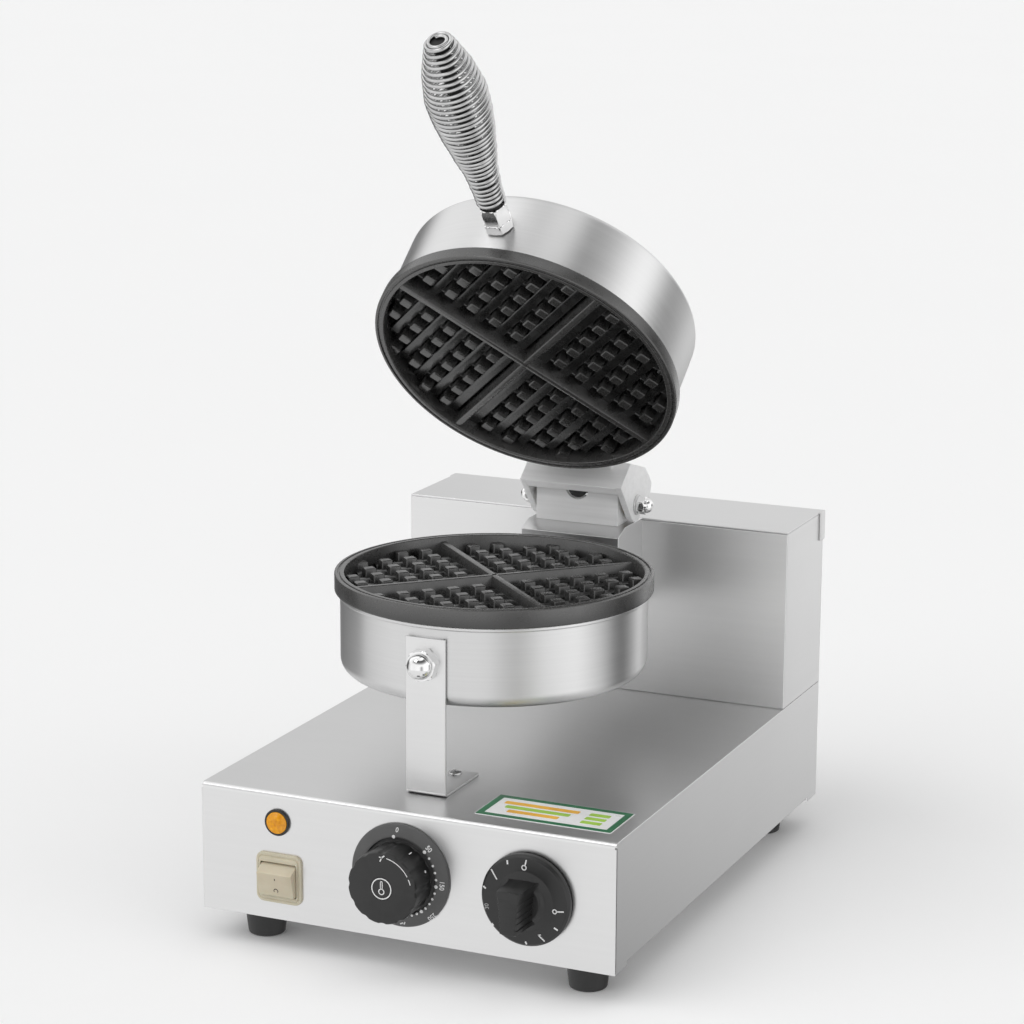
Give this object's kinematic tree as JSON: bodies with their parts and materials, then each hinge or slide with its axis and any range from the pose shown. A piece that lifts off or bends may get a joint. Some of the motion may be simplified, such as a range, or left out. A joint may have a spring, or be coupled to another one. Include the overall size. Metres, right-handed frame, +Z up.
{
  "type": "waffle iron",
  "caption": "Countertop round waffle iron: sheet-metal base with controls, fixed lower iron, hinged upper iron with a coiled-wire handle.",
  "frame": {"origin": "on the floor plane under the centre of the base, midway between the thermostat knob's front and the cable gland's end", "axes": "+Z up, the control panel faces -Y, +X to the right as seen by the user"},
  "size_m": [0.2524, 0.3916, 0.5093],
  "materials": {
    "stainless_panel": "brushed, slightly satin",
    "stainless_drum": "fine circumferential brushing",
    "zinc_plate": "dull zinc plating",
    "hinge_casting": "satin, blasted",
    "nonstick_plate": "dark non-stick coating with a soft sheen",
    "bright_chrome": "polished",
    "screw_steel": "zinc plated",
    "heater_sheath": "oxidised tube",
    "mineral_wool": "pressed mineral wool",
    "black_rubber": "matt",
    "black_knob": "fine moulded grain",
    "black_trim": "smooth",
    "cream_plastic": "smooth ivory",
    "amber_lens": "translucent amber",
    "phenolic": "moulded phenolic",
    "brass_bush": "turned",
    "cable_sleeve": "silicone sleeve",
    "label_film": "printed film, plain colour blocks"
  },
  "bodies": {
    "root": {"base_bottom_cover": "zinc_plate", "base_shell": "stainless_panel", "control_screws": "screw_steel", "cord_gland": "black_trim", "cord_gland_locknut": "black_trim", "cover_screws": "screw_steel", "drum_duct": "stainless_panel", "foot_front_left": "black_rubber", "foot_front_right": "black_rubber", "foot_rear_left": "black_rubber", "foot_rear_right": "black_rubber", "foot_screws": "screw_steel", "front_leg_bracket": "stainless_panel", "front_leg_nut": "bright_chrome", "front_leg_screw": "screw_steel", "front_leg_stud": "bright_chrome", "hinge_bushes": "brass_bush", "hinge_neck": "stainless_panel", "hinge_pedestal": "stainless_panel", "indicator_bezel": "black_trim", "indicator_lens": "amber_lens", "lid_supply_lead": "cable_sleeve", "lower_clamp_plate": "zinc_plate", "lower_drum": "stainless_drum", "lower_heating_element": "heater_sheath", "lower_insulation": "mineral_wool", "lower_plate": "nonstick_plate", "lower_plate_screws": "screw_steel", "neck_wire_grommet": "black_rubber", "rating_plate": "label_film", "rear_housing_cover": "stainless_panel", "rear_housing_shell": "stainless_panel", "switch_contacts": "phenolic", "switch_frame": "cream_plastic", "terminal_block": "phenolic", "thermostat_body": "phenolic", "thermostat_dial_plate": "black_knob", "thermostat_sensor": "heater_sheath", "timer_body": "phenolic"},
    "lid": {"upper_drum": "stainless_drum", "upper_plate": "nonstick_plate", "upper_heating_element": "heater_sheath", "upper_insulation": "mineral_wool", "upper_clamp_plate": "zinc_plate", "upper_plate_screws": "screw_steel", "hinge_clevis": "hinge_casting", "clevis_screws": "screw_steel", "hinge_pin": "bright_chrome", "hinge_washers": "bright_chrome", "hinge_pin_nuts": "bright_chrome", "handle_rod": "bright_chrome", "handle_nut": "bright_chrome", "handle_back_nut": "screw_steel", "handle_coil": "bright_chrome"},
    "rocker": {"switch_rocker": "cream_plastic"},
    "thermostat_dial": {"thermostat_knob": "black_knob", "thermostat_knob_cap": "black_trim", "thermostat_shaft": "screw_steel"},
    "timer_dial": {"timer_knob": "black_knob", "timer_shaft": "screw_steel"}
  },
  "joints": [
    {"name": "lid_hinge", "type": "hinge", "parent": "root", "child": "lid", "pos_m": [0, 0.0872, 0.214], "axis": [-1, 0, 0], "range_deg": [-50.9, 26]},
    {"name": "switch_press", "type": "hinge", "parent": "root", "child": "rocker", "pos_m": [-0.0762, -0.1656, 0.0431], "axis": [-1, 0, 0], "range_deg": [0, 25]},
    {"name": "thermostat_turn", "type": "hinge", "parent": "root", "child": "thermostat_dial", "pos_m": [-0.001, -0.168, 0.057], "axis": [0, 1, 0], "range_deg": [0, 270]},
    {"name": "timer_turn", "type": "hinge", "parent": "root", "child": "timer_dial", "pos_m": [0.0747, -0.168, 0.0554], "axis": [0, 1, 0], "range_deg": [0, 300]}
  ]
}
